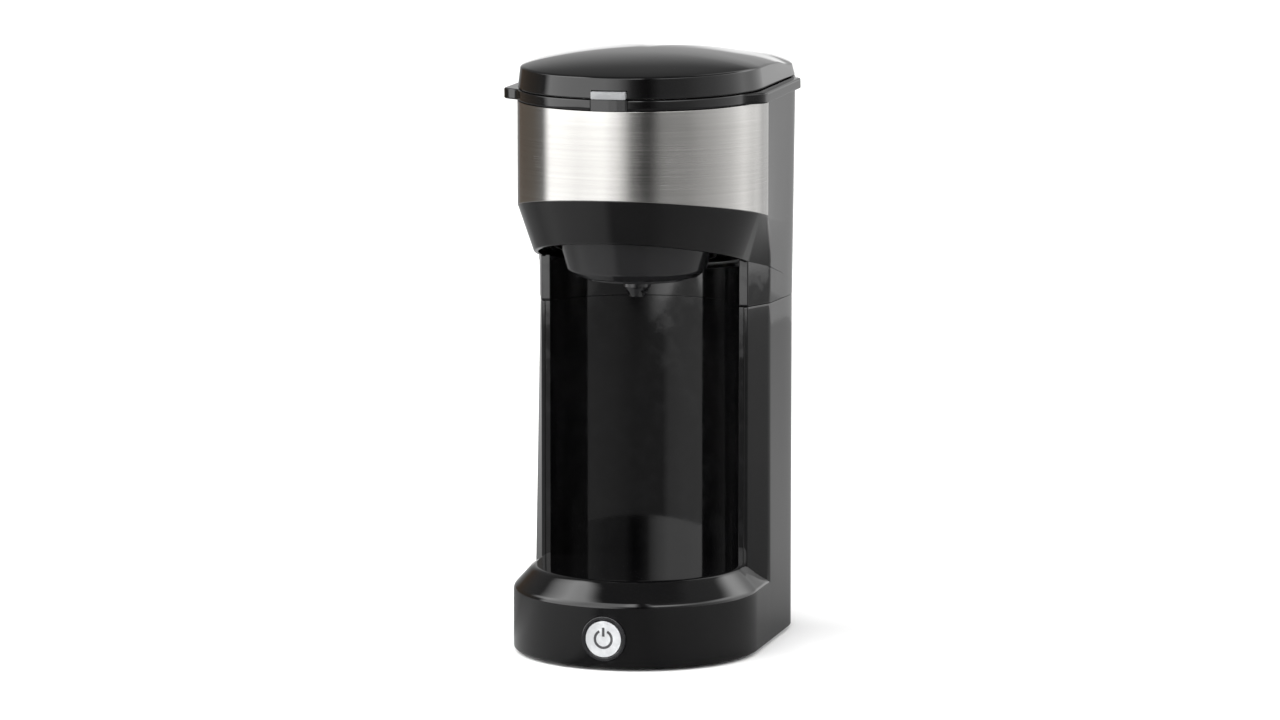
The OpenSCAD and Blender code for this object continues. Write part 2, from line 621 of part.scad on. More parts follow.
// flat lead along a plan path of points, w wide
module lead(pts, w, z, h) translate([0, 0, z]) linear_extrude(h) for (i = [0:len(pts) - 2]) {
  v = pts[i + 1] - pts[i];
  n = [-v[1], v[0]] / norm(v) * w / 2;
  u = v / norm(v) * w * 0.4;
  polygon([pts[i] + n - u, pts[i + 1] + n + u, pts[i + 1] - n + u, pts[i] - n - u]);
}
module wiring() color(rubber) {
  lead([[-7, -46], [-7, -30], [-10, 20], [11, 48], [16, 66]], 2, 9.8, 2);
  lead([[7, -46], [7, -30], [12, 20], [17, 46], [22, 66]], 2, 9.8, 2);
}

// --- underside --------------------------------------------------------------------
module bottom_cover() color(black) difference() {
  prism(base_pts(wall + 0.25), foot_h, foot_h + 2);
  for (p = screw_pos) translate([p[0], p[1], 0]) cylinder(r = 1.7, h = 10, $fn = 32);
  for (p = screw_pos) translate([p[0], p[1], 0]) cylinder(r = 3.3, h = 2.4, $fn = 32);
  // clearance under the button's bezel
  translate([-14, -90, 0]) cube([28, 23.5, 6]);
  for (p = foot_pos) translate([p[0], p[1], 0]) cylinder(r = 5.9, h = 2, $fn = 48);
  // vents
  for (x = [-20:8:20]) translate([x - 1.2, -20, 0]) cube([2.4, 40, 6]);
}
module rubber_feet() color(rubber) for (p = foot_pos) translate([p[0], p[1], 0])
  cylinder(r = 5.8, h = 1.95, $fn = 48);
module base_screws() color(steel) for (p = screw_pos) translate([p[0], p[1], 0]) difference() {
  union() {
    translate([0, 0, 1.35]) cylinder(r = 3, h = 1, $fn = 32);
    translate([0, 0, 2.3]) cylinder(r = 1.45, h = 10, $fn = 32);
  }
  for (a = [0, 90]) rotate(a) translate([-1.8, -0.35, 0]) cube([3.6, 0.7, 1.9]);
}
module housing_screws() color(steel) for (p = join_pos) translate([p[0], p[1], seam_z + e + 6]) {
  difference() {
    translate([0, 0, 0.02]) cylinder(r = 2.4, h = 1.8, $fn = 32);
    for (a = [0, 90]) rotate(a) translate([-1.4, -0.3, 1]) cube([2.8, 0.6, 2]);
  }
  translate([0, 0, -13]) cylinder(r = 1.1, h = 13.1, $fn = 32);
}
module cord_gland() color(rubber) translate([20, 0, 14]) rotate([-90, 0, 0]) difference() {
  union() {
    translate([0, 0, 70.4]) cylinder(r = 8, h = 2.2, $fn = 48);
    translate([0, 0, 70.4]) cylinder(r = 6.1, h = 4.5, $fn = 48);
  }
  translate([0, 0, 60]) cylinder(r = 3.6, h = 20, $fn = 48);
}

lower_housing();
recess_liner();
upper_housing();
steel_band();
basket_well();
top_collar();
lid_shell();
lid_liner();
lid_gasket();
water_channel();
shower_head();
hinge_pin();
latch_button();
latch_tongue();
latch_spring();
brew_basket();
drip_nozzle();
filter_frame();
filter_mesh();
water_tank();
check_valve();
inlet_hose();
heater_tube();
heater_bracket();
thermostat();
thermal_fuse();
riser_hose();
outlet_port();
hose_clips();
power_button();
button_symbol();
button_bezel();
button_spring();
power_switch();
wiring();
bottom_cover();
rubber_feet();
base_screws();
housing_screws();
cord_gland();
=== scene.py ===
# Drip coffee maker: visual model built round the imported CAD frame.
import math

import bmesh
import bpy
import numpy as np
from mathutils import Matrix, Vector


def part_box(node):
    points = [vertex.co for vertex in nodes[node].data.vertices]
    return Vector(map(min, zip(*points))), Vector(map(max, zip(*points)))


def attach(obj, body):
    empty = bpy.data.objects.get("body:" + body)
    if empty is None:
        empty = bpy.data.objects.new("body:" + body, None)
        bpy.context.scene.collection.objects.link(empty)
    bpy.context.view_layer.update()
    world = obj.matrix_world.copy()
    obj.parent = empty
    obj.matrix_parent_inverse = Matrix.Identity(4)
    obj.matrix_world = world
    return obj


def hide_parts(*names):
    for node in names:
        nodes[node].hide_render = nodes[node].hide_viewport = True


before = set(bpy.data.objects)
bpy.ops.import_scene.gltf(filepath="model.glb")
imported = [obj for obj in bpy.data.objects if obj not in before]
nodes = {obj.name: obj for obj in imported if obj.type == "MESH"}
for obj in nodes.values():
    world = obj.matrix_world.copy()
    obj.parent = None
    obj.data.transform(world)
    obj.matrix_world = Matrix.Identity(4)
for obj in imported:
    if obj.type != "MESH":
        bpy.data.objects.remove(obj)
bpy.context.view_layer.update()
scene = bpy.context.scene
MM = 0.001

# ---------------------------------------------------------------- dimensions (mm)
BASE_R, CUP_Y, HEAD_Y, HEAD_R = 57.6, -17.0, -7.5, 58.0
REAR_Y, RC, SEAM_Z, PLAT_Z = 75.0, 26.0, 160.3, 40.0
CHIN_Z, CHIN_S, BAND_Z, BAND_S = 193.7, 0.231, 213.6, 0.172
TILT = math.radians(2.06)
HINGE_V, HINGE_W = 69.0, 10.5


def chin_at(y):
    return CHIN_Z - CHIN_S * (y + 59.7)


def band_at(y):
    return BAND_Z - BAND_S * (y + 64.8)


def top(x, v, w):
    """A point of the tilted top frame in the model's frame."""
    return (x, -65 + (v + 65) * math.cos(TILT) - w * math.sin(TILT),
            254.5 + (v + 65) * math.sin(TILT) + w * math.cos(TILT))


def collar_at(y):
    """Height of the collar's underside over y."""
    return 254.5 + (y + 65) * math.tan(TILT)


# ---------------------------------------------------------------- outline tools
def arc(cx, cy, r, a0, a1, n):
    return [(cx + r * math.cos(math.radians(a0 + (a1 - a0) * i / n)),
             cy + r * math.sin(math.radians(a0 + (a1 - a0) * i / n))) for i in range(n + 1)]


def bez(p0, p1, p2, reach, n=4):
    """Rounds the corner p1 between p0 and p2, reach mm along each side."""
    a, b, c = (np.array(p, float) for p in (p0, p1, p2))
    s = b + (a - b) / np.linalg.norm(a - b) * reach
    t = b + (c - b) / np.linalg.norm(c - b) * reach
    return [tuple((1 - u) ** 2 * s + 2 * u * (1 - u) * b + u * u * t) for u in np.linspace(0, 1, n + 1)]


def mirror_x(pts):
    return [(-x, y) for x, y in reversed(pts)]


def inset(pts, d):
    """Moves a closed counter-clockwise outline inwards by d."""
    p = np.array(pts, float)
    a, b = np.roll(p, 1, 0), np.roll(p, -1, 0)
    e0, e1 = p - a, b - p
    e0 /= np.maximum(np.linalg.norm(e0, axis=1), 1e-9)[:, None]
    e1 /= np.maximum(np.linalg.norm(e1, axis=1), 1e-9)[:, None]
    n0, n1 = np.c_[-e0[:, 1], e0[:, 0]], np.c_[-e1[:, 1], e1[:, 0]]
    m = n0 + n1
    m /= np.maximum(np.linalg.norm(m, axis=1), 1e-9)[:, None]
    k = 1 / np.clip((m * n0).sum(1), 0.5, 1)
    return [tuple(q) for q in p + m * (d * k)[:, None]]


def at_z(pts, z):
    return [(x, y, z(y) if callable(z) else z) for x, y in pts]


def lerp_ring(a, b, t):
    return [tuple(np.array(p) * (1 - t) + np.array(q) * t) for p, q in zip(a, b)]


# ---------------------------------------------------------------- mesh tools
def loft(rings, wrap=False, cap0=False, cap1=False):
    """Quads through equal rings. wrap joins the last ring to the first; caps close the ends with a fan."""
    n, m = len(rings[0]), len(rings)
    verts = [tuple(p) for r in rings for p in r]
    faces = []
    for j in range(m if wrap else m - 1):
        k = (j + 1) % m
        for i in range(n):
            h = (i + 1) % n
            faces.append((j * n + i, j * n + h, k * n + h, k * n + i))
    for want, j, flip in ((cap0, 0, True), (cap1, m - 1, False)):
        if want == "flat":
            f = tuple(range(j * n, j * n + n))
            faces.append(tuple(reversed(f)) if flip else f)
        elif want:
            c = len(verts)
            verts.append(tuple(np.mean(np.array(rings[j], float), 0)))
            for i in range(n):
                h = (i + 1) % n
                faces.append((c, j * n + h, j * n + i) if flip else (c, j * n + i, j * n + h))
    return verts, faces


def revolve(profile, cx, cy, n=128):
    """A closed profile of (r, z) turned about a vertical axis."""
    rings = [[(cx + r * math.cos(2 * math.pi * i / n), cy + r * math.sin(2 * math.pi * i / n), z) for i in range(n)]
             for r, z in profile]
    return loft(rings, wrap=True)


def round_profile(pts, n=4):
    """Closed polygon of (r, z, reach) with its corners rounded."""
    out = []
    for i, (r, z, q) in enumerate(pts):
        a, c = pts[i - 1], pts[(i + 1) % len(pts)]
        out += bez(a[:2], (r, z), c[:2], q, n) if q > 0 else [(r, z)]
    return out


def to_object(name, parts, tidy=True):
    mesh = bpy.data.meshes.new(name)
    verts, faces = [], []
    for v, f in parts:
        o = len(verts)
        verts += [(x * MM, y * MM, z * MM) for x, y, z in v]
        faces += [tuple(i + o for i in q) for q in f]
    mesh.from_pydata(verts, [], faces)
    obj = bpy.data.objects.new(name, mesh)
    scene.collection.objects.link(obj)
    bm = bmesh.new()
    bm.from_mesh(mesh)
    if tidy:
        bmesh.ops.remove_doubles(bm, verts=bm.verts, dist=2e-7)
    bmesh.ops.recalc_face_normals(bm, faces=bm.faces)
    bm.to_mesh(mesh)
    bm.free()
    return obj


def carve(obj, cutters, op="DIFFERENCE"):
    """Cuts closed solids (parts) out of obj and keeps the result as its mesh."""
    for i, part in enumerate(cutters):
        cut = to_object("cut_%d" % i, [part])
        mod = obj.modifiers.new("cut", "BOOLEAN")
        mod.operation, mod.solver, mod.object = op, "EXACT", cut
        deps = bpy.context.evaluated_depsgraph_get()
        new = bpy.data.meshes.new_from_object(obj.evaluated_get(deps))
        obj.modifiers.clear()
        old, obj.data = obj.data, new
        bpy.data.meshes.remove(old)
        bpy.data.objects.remove(cut)
    return obj


def prism(pts, w0, w1, tf=None):
    tf = tf or (lambda x, y, z: (x, y, z))
    return loft([[tf(x, y, w0) for x, y in pts], [tf(x, y, w1) for x, y in pts]], cap0="flat", cap1="flat")


def rod(p0, p1, r, n=48, chamfer=0.3):
    """Closed cylinder between two points, with its rims eased."""
    a, b = Vector(p0), Vector(p1)
    d = (b - a).normalized()
    s = d.orthogonal().normalized()
    t = d.cross(s)
    rings = []
    for q, rr in ((a, r - chamfer), (a + d * chamfer * 0.35, r - chamfer * 0.3), (a + d * chamfer, r),
                  (b - d * chamfer, r), (b - d * chamfer * 0.35, r - chamfer * 0.3), (b, r - chamfer)):
        rings.append([tuple(q + (s * math.cos(2 * math.pi * i / n) + t * math.sin(2 * math.pi * i / n)) * rr)
                      for i in range(n)])
    return loft(rings, cap0="flat", cap1="flat")


def dress(obj, mat, sharp=38, bevel=0.0, weighted=True):
    mesh = obj.data
    mesh.materials.clear()
    mesh.materials.append(mat)
    for p in mesh.polygons:
        p.use_smooth = True
    mesh.set_sharp_from_angle(angle=math.radians(sharp))
    if bevel:
        b = obj.modifiers.new("Bevel", "BEVEL")
        b.width, b.segments, b.limit_method, b.angle_limit = bevel * MM, 2, "ANGLE", math.radians(sharp)
        b.use_clamp_overlap, b.harden_normals = True, False
    if weighted:
        w = obj.modifiers.new("Normals", "WEIGHTED_NORMAL")
        w.keep_sharp = True
        w.weight = 50


def piece(name, parts, body, mat, replaces=(), cuts=(), sharp=38, bevel=0.0):
    obj = to_object(name, parts)
    if cuts:
        carve(obj, cuts)
    dress(obj, mat, sharp, bevel)
    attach(obj, body)
    if replaces:
        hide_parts(*replaces)
    return obj


# ---------------------------------------------------------------- materials
class Mat:
    def __init__(self, name):
        self.m = bpy.data.materials.new(name)
        self.m.use_nodes = True
        self.t = self.m.node_tree
        self.t.nodes.clear()
        self.out = self.n("ShaderNodeOutputMaterial")
        self.b = self.n("ShaderNodeBsdfPrincipled")
        self.t.links.new(self.b.outputs[0], self.out.inputs["Surface"])
        self.co = self.n("ShaderNodeTexCoord").outputs["Object"]

    def n(self, kind, **props):
        node = self.t.nodes.new(kind)
        for k, v in props.items():
            setattr(node, k, v)
        return node

    def link(self, a, b):
        self.t.links.new(a, b)

    def put(self, **values):
        for k, v in values.items():
            self.b.inputs[k.replace("_", " ")].default_value = v
        return self

    def mapped(self, scale):
        node = self.n("ShaderNodeMapping")
        node.inputs["Scale"].default_value = scale
        self.link(self.co, node.inputs["Vector"])
        return node.outputs["Vector"]

    def noise(self, scale, detail=3.0, rough=0.55, vector=None, dist=0.0):
        node = self.n("ShaderNodeTexNoise")
        node.inputs["Scale"].default_value = scale
        node.inputs["Detail"].default_value = detail
        node.inputs["Roughness"].default_value = rough
        node.inputs["Distortion"].default_value = dist
        self.link(vector or self.co, node.inputs["Vector"])
        return node.outputs["Fac"]

    def ramp(self, fac, *stops):
        node = self.n("ShaderNodeValToRGB")
        el = node.color_ramp.elements
        while len(el) < len(stops):
            el.new(0.5)
        for e, (pos, col) in zip(el, stops):
            e.position = pos
            e.color = (*col, 1) if isinstance(col, tuple) else (col, col, col, 1)
        self.link(fac, node.inputs["Fac"])
        return node.outputs["Color"]

    def span(self, fac, lo, hi, a=0.3, b=0.7):
        node = self.n("ShaderNodeMapRange")
        for k, v in (("From Min", a), ("From Max", b), ("To Min", lo), ("To Max", hi)):
            node.inputs[k].default_value = v
        self.link(fac, node.inputs["Value"])
        return node.outputs["Result"]

    def mix(self, fac, a, b):
        node = self.n("ShaderNodeMix", data_type="RGBA")
        self.link(fac, node.inputs[0])
        for sock, v in ((node.inputs[6], a), (node.inputs[7], b)):
            if isinstance(v, tuple):
                sock.default_value = (*v, 1)
            else:
                self.link(v, sock)
        return node.outputs[2]

    def op(self, kind, a, b=None):
        node = self.n("ShaderNodeMath", operation=kind)
        for sock, v in zip(node.inputs, (a, b)):
            if v is None:
                continue
            if isinstance(v, (int, float)):
                sock.default_value = v
            else:
                self.link(v, sock)
        return node.outputs[0]

    def edges(self, lo=0.505, hi=0.56):
        """0 on flats, 1 on worn outer edges."""
        geo = self.n("ShaderNodeNewGeometry")
        return self.span(geo.outputs["Pointiness"], 0.0, 1.0, lo, hi)

    def bump(self, height, strength, dist, normal=None):
        node = self.n("ShaderNodeBump")
        node.inputs["Strength"].default_value = strength
        node.inputs["Distance"].default_value = dist
        self.link(height, node.inputs["Height"])
        if normal is not None:
            self.link(normal, node.inputs["Normal"])
        self.link(node.outputs[0], self.b.inputs["Normal"])
        return node.outputs[0]


def black_gloss():
    m = Mat("black_gloss").put(IOR=1.46)
    wave, fine = m.noise(28, 2), m.noise(900, 3)
    smear = m.noise(1.0, 4, 0.6, m.mapped((22, 22, 70)), 0.6)
    wear = m.op("MULTIPLY", m.edges(), m.span(m.noise(160, 4), 0.0, 1.0, 0.45, 0.7))
    col = m.ramp(wave, (0.3, (0.0014, 0.0014, 0.0016)), (0.7, (0.0026, 0.0025, 0.0026)))
    m.link(m.mix(m.op("MULTIPLY", wear, 0.35), col, (0.014, 0.014, 0.015)), m.b.inputs["Base Color"])
    rough = m.op("ADD", m.span(smear, 0.03, 0.06), m.op("MULTIPLY", m.span(fine, 0.0, 1.0), 0.02))
    m.link(m.op("ADD", rough, m.op("MULTIPLY", wear, 0.12)), m.b.inputs["Roughness"])
    m.bump(wave, 0.16, 0.00025, m.bump(fine, 0.015, 0.00002))
    return m.m


def brushed(name, base, lo, hi, aniso=0.75, axis="Z", z=2600.0, tone=0.10):
    m = Mat(name).put(Metallic=1.0, Anisotropic=aniso, Anisotropic_Rotation=ANISO_ROT)
    line = m.noise(1.0, 3, 0.65, m.mapped((9, 9, z)))
    wide = m.noise(1.0, 2, 0.5, m.mapped((4, 4, z * 0.16)))
    cloud = m.noise(24, 3)
    grain = m.op("ADD", m.op("MULTIPLY", line, 0.65), m.op("MULTIPLY", wide, 0.35))
    dark = tuple(c * (1 - tone * 1.6) for c in base)
    light = tuple(min(1, c * (1 + tone)) for c in base)
    col = m.ramp(grain, (0.36, dark), (0.64, light))
    worn = m.op("MULTIPLY", m.edges(0.51, 0.6), 0.25)
    m.link(m.mix(worn, col, (0.9, 0.9, 0.89)), m.b.inputs["Base Color"])
    m.link(m.op("ADD", m.span(line, lo, hi, 0.32, 0.68), m.op("MULTIPLY", m.span(cloud, 0.0, 0.05), 1.0)),
           m.b.inputs["Roughness"])
    m.bump(line, 0.11, 0.00004)
    if axis == "Z":
        t = m.n("ShaderNodeTangent", direction_type="RADIAL", axis="Z")
        m.link(t.outputs[0], m.b.inputs["Tangent"])
    return m.m


ANISO_ROT = 0.25


def moulded(name, col, rough, bump=0.12, grain=1500.0, metallic=0.0, vary=0.12, wear_col=None, ior=1.5, trans=0.0):
    """Moulded plastic, rubber or silicone with a fine spark-eroded grain."""
    m = Mat(name).put(IOR=ior, Metallic=metallic)
    if trans:
        m.put(Transmission_Weight=trans)
    cloud, fine = m.noise(45, 3), m.noise(grain, 2)
    c0 = tuple(c * (1 - vary) for c in col)
    c1 = tuple(min(1, c * (1 + vary)) for c in col)
    base = m.ramp(cloud, (0.3, c0), (0.7, c1))
    wear_col = wear_col or tuple(min(1, c * 1.7 + 0.02) for c in col)
    wear = m.op("MULTIPLY", m.edges(), m.span(m.noise(220, 4), 0.0, 0.6, 0.45, 0.7))
    m.link(m.mix(wear, base, wear_col), m.b.inputs["Base Color"])
    m.link(m.op("ADD", m.span(cloud, rough * 0.88, rough * 1.12), m.op("MULTIPLY", m.span(fine, 0.0, 1.0), rough * 0.12)),
           m.b.inputs["Roughness"])
    m.bump(fine, bump, 0.00006)
    return m.m


def woven():
    """Fine stainless mesh: two crossed wire directions."""
    m = Mat("filter_mesh_steel").put(Metallic=1.0)
    sep = m.n("ShaderNodeSeparateXYZ")
    m.link(m.co, sep.inputs[0])
    ang = m.op("ARCTAN2", m.op("ADD", sep.outputs[1], 0.018), sep.outputs[0])
    w1 = m.op("ABSOLUTE", m.op("SINE", m.op("MULTIPLY", ang, 130.0)))
    w2 = m.op("ABSOLUTE", m.op("SINE", m.op("MULTIPLY", sep.outputs[2], 4700.0)))
    weave = m.op("MAXIMUM", w1, w2)
    m.link(m.ramp(weave, (0.35, (0.03, 0.03, 0.03)), (0.85, (0.62, 0.61, 0.6))), m.b.inputs["Base Color"])
    m.link(m.span(m.noise(120), 0.3, 0.45), m.b.inputs["Roughness"])
    m.bump(weave, 0.6, 0.0001)
    return m.m


M = {
    "black_gloss": black_gloss(),
    "steel_band": brushed("brushed_band", (0.40, 0.393, 0.38), 0.16, 0.24, 0.85, z=5200.0, tone=0.05),
    "steel": brushed("plain_steel", (0.55, 0.55, 0.55), 0.25, 0.38, 0.0, "", 900.0),
    "aluminium": moulded("cast_aluminium", (0.60, 0.60, 0.61), 0.42, 0.3, 700.0, 1.0),
    "dark_plastic": moulded("dark_plastic", (0.014, 0.014, 0.015), 0.30, 0.16, 1700.0),
    "basket_black": moulded("basket_black", (0.008, 0.008, 0.0085), 0.13, 0.05, 1100.0),
    "grey_plastic": moulded("grey_plastic", (0.47, 0.48, 0.49), 0.34, 0.10, 1400.0, vary=0.05),
    "latch_grey": moulded("latch_grey", (0.20, 0.204, 0.208), 0.34, 0.10, 1400.0, vary=0.05),
    "silver_button": moulded("silver_button", (0.56, 0.57, 0.58), 0.33, 0.06, 1200.0, metallic=0.55, vary=0.04),
    "symbol": moulded("symbol_ink", (0.035, 0.035, 0.037), 0.4, 0.05),
    "bezel": moulded("bezel_black", (0.010, 0.010, 0.011), 0.18, 0.05),
    "silicone": moulded("silicone", (0.62, 0.60, 0.56), 0.5, 0.08, 600.0, vary=0.05),
    "rubber": moulded("rubber", (0.016, 0.016, 0.016), 0.62, 0.3, 900.0),
    "tank": moulded("tank_smoke", (0.20, 0.21, 0.22), 0.16, 0.03, 500.0, trans=0.35, vary=0.05, ior=1.5),
    "mesh": woven(),
}

# ---------------------------------------------------------------- CAD nodes: finish only
CAD_LOOK = {
    "recess_liner": ("black_gloss", 0.15), "basket_well": ("dark_plastic", 0.2), "lid_liner": ("dark_plastic", 0.3),
    "lid_gasket": ("silicone", 0.4), "water_channel": ("grey_plastic", 0.3), "shower_head": ("grey_plastic", 0.2),
    "hinge_pin": ("steel", 0.2), "latch_button": ("latch_grey", 0.4), "latch_tongue": ("black_gloss", 0.2),
    "latch_spring": ("steel", 0), "drip_nozzle": ("basket_black", 0.3),
    "filter_frame": ("dark_plastic", 0.3), "filter_mesh": ("mesh", 0), "water_tank": ("tank", 0.3),
    "check_valve": ("grey_plastic", 0.3), "inlet_hose": ("silicone", 0.3), "heater_tube": ("aluminium", 0.3),
    "heater_bracket": ("steel", 0.2), "thermostat": ("dark_plastic", 0.3), "thermal_fuse": ("silicone", 0.3),
    "riser_hose": ("silicone", 0.3), "outlet_port": ("silicone", 0.3), "hose_clips": ("steel", 0.2),
    "power_button": ("silver_button", 0.45), "button_symbol": ("symbol", 0), "button_bezel": ("bezel", 0.35),
    "button_spring": ("steel", 0), "power_switch": ("dark_plastic", 0.3), "wiring": ("rubber", 0),
    "bottom_cover": ("dark_plastic", 0.25), "rubber_feet": ("rubber", 0.4), "base_screws": ("steel", 0.2),
    "housing_screws": ("steel", 0.2), "cord_gland": ("rubber", 0.3),
    "brew_basket": ("basket_black", 0.3), "steel_band": ("steel_band", 0.15), "top_collar": ("black_gloss", 0.3),
    "lid_shell": ("black_gloss", 0.0), "upper_housing": ("black_gloss", 0.0), "lower_housing": ("black_gloss", 0.0),
}
for name, (slot, bevel) in CAD_LOOK.items():
    o = nodes[name]
    if not o.material_slots:
        o.data.materials.append(None)
    for s in o.material_slots:
        s.link = "OBJECT"
        s.material = M[slot]
    w = o.modifiers.new("Weld", "WELD")
    w.merge_threshold = 2e-6
    if bevel:
        b = o.modifiers.new("Bevel", "BEVEL")
        b.width, b.segments, b.limit_method, b.angle_limit = bevel * MM, 2, "ANGLE", math.radians(38)
        b.use_clamp_overlap, b.harden_normals = True, False
        w = o.modifiers.new("Normals", "WEIGHTED_NORMAL")
        w.keep_sharp = True

# PIECES BEGIN
# ---------------------------------------------------------------- base and tower
def front_strip(t):
    """Cheek corner of the tower, t = 0 at the base, 1 at the seam."""
    return (57.2 - 1.5 * t, 8.3 + 4.2 * t)


def base_outline(d=0.0, tuck=0.8):
    """Round front, then the sides; past the cheek it tucks behind the tower's own wall."""
    half = arc(0, CUP_Y, BASE_R - d, 270, 360, 60)
    for y, k in ((-12, 0), (-6, 0), (0, 0), (4, 0), (8.3, 0.0), (11, 0.03), (15, tuck), (28, tuck), (42, tuck)):
        half.append((BASE_R - (y - CUP_Y) / 66 - d - k, y))
    half += arc(56.6 - RC, REAR_Y - RC, RC - d - tuck, 0, 90, 14)
    half.append((0, REAR_Y - d - tuck))
    return half + mirror_x(half[1:-1])


def top_outline(r0=48.5, grow=1.9):
    """Edge of the cup platform, in step with base_outline."""
    angles = [270 + 90 * i / 60 for i in range(61)] + [365, 370, 376, 380, 385, 388, 392, 400, 408]
    angles += [410 + 37 * i / 14 for i in range(15)] + [450]
    half = []
    for a in angles:
        u = min(1, max(0, (a - 364) / 9))
        r = r0 + grow * u * u * (3 - 2 * u)
        half.append((r * math.cos(math.radians(a)), CUP_Y + r * math.sin(math.radians(a))))
    half[0] = (0, CUP_Y - r0)
    half[-1] = (0, CUP_Y + r0 + grow)
    return half + mirror_x(half[1:-1])


def base_shell():
    O, T = base_outline(), top_outline()
    zo, zt = 30.0, PLAT_Z
    slope = lambda s: [(x, y, zo + (zt - zo) * s) for x, y in lerp_ring(O, T, s)]
    rings = [at_z(base_outline(1.9), 30), at_z(base_outline(2.2), 26), at_z(base_outline(2.2), 2.0),
             at_z(base_outline(1.9), 1.3), at_z(base_outline(1.0), 1.2), at_z(base_outline(0.5), 1.35),
             at_z(base_outline(0.15), 1.7), at_z(O, 2.3)]
    rings += [at_z(O, z) for z in (5, 8, 11, 14, 17, 20, 23, 26, 28.4)]
    a, b, c = at_z(O, 28.4), at_z(O, zo), slope(0.11)
    for u in (0.25, 0.5, 0.75, 1.0):
        rings.append([tuple((1 - u) ** 2 * np.array(p) + 2 * u * (1 - u) * np.array(q) + u * u * np.array(r))
                      for p, q, r in zip(a, b, c)])
    rings += [slope(s) for s in (0.3, 0.5, 0.7)]
    a, b, c = slope(0.86), at_z(T, zt), at_z(top_outline(47.1), zt)
    for u in (0, 0.25, 0.5, 0.75, 1.0):
        rings.append([tuple((1 - u) ** 2 * np.array(p) + 2 * u * (1 - u) * np.array(q) + u * u * np.array(r))
                      for p, q, r in zip(a, b, c)])
    rings += [at_z(top_outline(r, 0.4), zt) for r in (40, 28, 15, 5)]
    under = [at_z(top_outline(r, 0.4), zt - 2.2) for r in (5, 40)] + [at_z(top_outline(45.5, 1.9), zt - 2.2)]
    return loft(under + rings, cap0=True, cap1=True)


def c_loop(F, C, side, rc_r, rb, tip_y, reach_f=0.45, reach_c=2.2, w=56.6, n=72):
    """Closed C outline: bay tip, front strip, angled cheek, side, rounded rear, and back round the bay."""
    tip = (math.sqrt(rb ** 2 - (tip_y - CUP_Y) ** 2), tip_y)
    inner = (tip[0] - 0.6, tip_y + 1.9)
    half = bez(inner, tip, F, min(0.3, (F[0] - tip[0]) * 0.3), 3) + bez(tip, F, C, min(reach_f, (F[0] - tip[0]) * 0.45), 4)
    half += bez(F, C, side[0], reach_c, 6) + list(side)
    half += arc(w - RC, REAR_Y - RC, rc_r, 0, 90, 14)
    a0 = math.degrees(math.atan2(tip_y - CUP_Y, tip[0]))
    bay = arc(0, CUP_Y, rb, 180 - a0 - 1.0, a0 + 1.0, n)
    return half + [(0, REAR_Y - RC + rc_r)] + mirror_x(half) + bay


def tower_loop(z, d=0.0, rb=49.3):
    t = min(1, max(0, (z - 30) / 130.3))
    C = front_strip(t)
    F = (49.8 - 0.55 * d, -5.5 + 0.8 * d)
    wy = lambda y: BASE_R - (y - CUP_Y) / 66 if t == 0 else (BASE_R - (y - CUP_Y) / 66) * (1 - t) + t * (55.7 + 0.9 * (y - 12.5) / 29.5)
    side = [(wy(y) - d, y) for y in (18, 26, 34, 42)]
    return c_loop(F, (C[0] - d, C[1] + 0.15 * d), side, RC - d, rb, -5.5 + 0.8 * d)


def tower_inner(z, rb=50.3):
    t = min(1, max(0, (z - 30) / 130.3))
    C, F = front_strip(t), (49.8, -5.5)
    dx, dy = C[0] - F[0], C[1] - F[1]
    L = math.hypot(dx, dy)
    dx, dy = dx / L, dy / L
    P = (F[0] - 2.2 * dy + 2.8 * dx, F[1] + 2.2 * dx + 2.8 * dy)
    side = [(54.2 + 0.2 * (y - 18) / 24, y) for y in (18, 26, 34, 42)]
    return c_loop(P, (C[0] - 2.3, C[1] + 0.6), side, RC - 2.2, rb, P[1])


def tower_shell():
    e = 0.45
    outer = [at_z(tower_loop(1.2, 0.9), 1.2), at_z(tower_loop(1.2, 0.4), 1.4), at_z(tower_loop(1.2, 0.1), 1.8),
             at_z(tower_loop(1.2), 2.4)]
    outer += [at_z(tower_loop(z), z) for z in (8, 14, 20, 30, 50, 75, 100, 125, 145, 157)]
    outer += [at_z(tower_loop(159.4), 159.4), at_z(tower_loop(SEAM_Z), SEAM_Z - e), at_z(tower_loop(SEAM_Z, 0.12), SEAM_Z - 0.14),
              at_z(tower_loop(SEAM_Z, 0.4), SEAM_Z)]
    inner = [at_z(tower_inner(SEAM_Z), SEAM_Z)] + [at_z(tower_inner(z), z) for z in (120, 80, 40, 10)] + [at_z(tower_inner(1.2), 1.2)]
    return loft(outer + inner, wrap=True)


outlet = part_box("cord_gland")
outlet_x = (outlet[0].x + outlet[1].x) / 2 / MM
outlet_z = (outlet[0].z + outlet[1].z) / 2 / MM
lower = to_object("lower_housing_shell", [base_shell()])
carve(lower, [tower_shell()], "UNION")
carve(lower, [rod((0, -90, 14.5), (0, -63, 14.5), 10.6, 96, 0.01),
              rod((outlet_x, 60, outlet_z), (outlet_x, 90, outlet_z), 6.2, 64, 0.01)])
dress(lower, M["black_gloss"], 46)
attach(lower, "body")
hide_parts("lower_housing")


# ---------------------------------------------------------------- head
def low_ring(d=0.0):
    half = arc(0, -10, 49.8 - d, 270, 354.5, 56)
    A, B, C, D = (49.75 - d, -11.5), (49.9 - d, -5.5 + d), (55.7 - d, 12.5 + 0.2 * d), (56.65 - d, 42)
    half += bez(A, B, C, 1.3, 5)
    half += [(52.8 - d + 0.02, 3.5 + 0.5 * d)]
    half += bez(B, C, D, 2.4, 6) + [(55.95 - d, 20), (56.2 - d, 28), (56.45 - d, 36), D]
    half += arc(56.65 - RC, REAR_Y - RC, RC - d, 0, 90, 14) + [(0, REAR_Y - d)]
    return half + mirror_x(half[1:-1])


